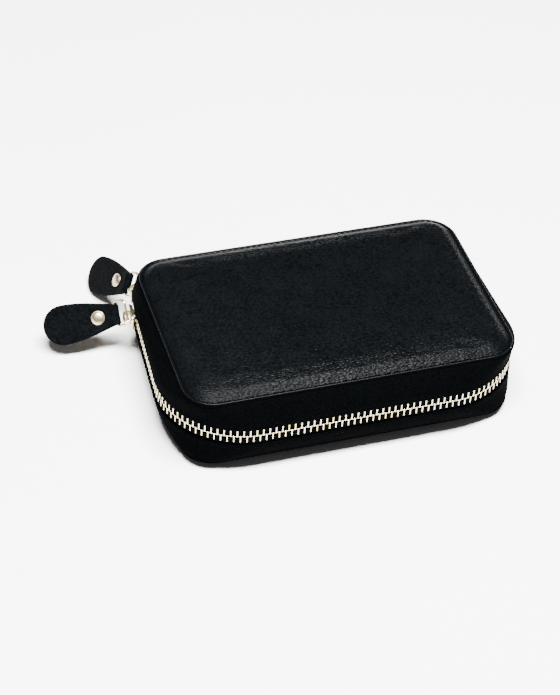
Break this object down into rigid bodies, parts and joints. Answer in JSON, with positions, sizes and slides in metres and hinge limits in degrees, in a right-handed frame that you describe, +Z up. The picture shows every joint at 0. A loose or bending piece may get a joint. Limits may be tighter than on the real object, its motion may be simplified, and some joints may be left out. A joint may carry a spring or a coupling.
{
  "type": "fountain pen case",
  "caption": "Zip-around padded leather case for fountain pens: two domed halves joined by a spine, metal zip with two sliders and riveted leather pulls, pen loops and a divider page inside.",
  "frame": {"origin": "centre of the flat patch under the base cover, on the surface the case lies on", "axes": "+Z up through the thickness, +X along the long side to the right, -Y to the long front run of the zip, +Y to the spine"},
  "size_m": [0.2329, 0.1662, 0.048],
  "materials": {
    "leather": "pebbled, semi-matt",
    "edge_leather": "smooth turned edge, slight sheen",
    "wall_leather": "fine grain, matt",
    "tab_leather": "pebbled, semi-matt",
    "foam": "foam",
    "board": "greyboard",
    "lining": "fine twill lining",
    "elastic": "ribbed elastic",
    "tape": "woven zip tape",
    "zip_metal": "pale gold plated, bright",
    "rivet_metal": "pale nickel gold, bright"
  },
  "bodies": {
    "base": {"base_cover": "leather", "base_padding": "foam", "base_board": "board", "base_lining": "lining", "base_welt": "edge_leather", "base_gusset": "wall_leather", "base_spine": "wall_leather", "base_pen_loops": "elastic", "base_nib_pocket": "lining", "base_zip_tape": "tape", "base_zip_teeth": "zip_metal", "base_zip_stops": "zip_metal"},
    "lid": {"lid_cover": "leather", "lid_padding": "foam", "lid_board": "board", "lid_lining": "lining", "lid_welt": "edge_leather", "lid_gusset": "wall_leather", "lid_spine": "wall_leather", "lid_pen_loops": "elastic", "lid_nib_pocket": "lining", "lid_zip_tape": "tape", "lid_zip_teeth": "zip_metal", "lid_zip_stop": "zip_metal"},
    "divider": {"divider_page": "lining", "divider_binding": "tape"},
    "slider_a": {"slider_a_body": "zip_metal"},
    "bail_a": {"slider_a_bail": "zip_metal"},
    "tab_a": {"slider_a_tab": "tab_leather", "slider_a_rivet": "rivet_metal"},
    "slider_b": {"slider_b_body": "zip_metal"},
    "bail_b": {"slider_b_bail": "zip_metal"},
    "tab_b": {"slider_b_tab": "tab_leather", "slider_b_rivet": "rivet_metal"}
  },
  "joints": [
    {"name": "lid_hinge", "type": "hinge", "parent": "base", "child": "lid", "pos_m": [0, 0.0623, 0.024], "axis": [-1, 0, 0], "range_deg": [0, 180]},
    {"name": "divider_hinge", "type": "hinge", "parent": "base", "child": "divider", "pos_m": [0, 0.0623, 0.024], "axis": [-1, 0, 0], "range_deg": [0, 90]},
    {"name": "slider_a_run", "type": "hinge", "parent": "base", "child": "slider_a", "pos_m": [-0.06822, 0.04, 0.024], "axis": [0, 0, 1], "range_deg": [-8, 12]},
    {"name": "slider_b_run", "type": "slide", "parent": "base", "child": "slider_b", "axis": [-0.0663, -0.9978, 0], "range_m": [0, 0.048]},
    {"name": "bail_a_swing", "type": "hinge", "parent": "slider_a", "child": "bail_a", "pos_m": [-0.08512, 0.06075, 0.02548], "axis": [-0.4175, -0.5306, -0.7377], "range_deg": [-54, 0]},
    {"name": "tab_a_swing", "type": "hinge", "parent": "bail_a", "child": "tab_a", "pos_m": [-0.08756, 0.06709, 0.0223], "axis": [-0.4175, -0.5306, -0.7377], "range_deg": [-60, 2]},
    {"name": "bail_b_swing", "type": "hinge", "parent": "slider_b", "child": "bail_b", "pos_m": [-0.09501, 0.04037, 0.02617], "axis": [0.0392, -0.6908, -0.722], "range_deg": [-50, 5]},
    {"name": "tab_b_swing", "type": "hinge", "parent": "bail_b", "child": "tab_b", "pos_m": [-0.09966, 0.0445, 0.02197], "axis": [0.0392, -0.6908, -0.722], "range_deg": [-45, 10]}
  ],
  "couplings": [
    {"joint": "divider_hinge", "follows": "lid_hinge", "ratio": 0.5},
    {"joint": "bail_a_swing", "follows": "lid_hinge", "ratio": -0.3}
  ]
}
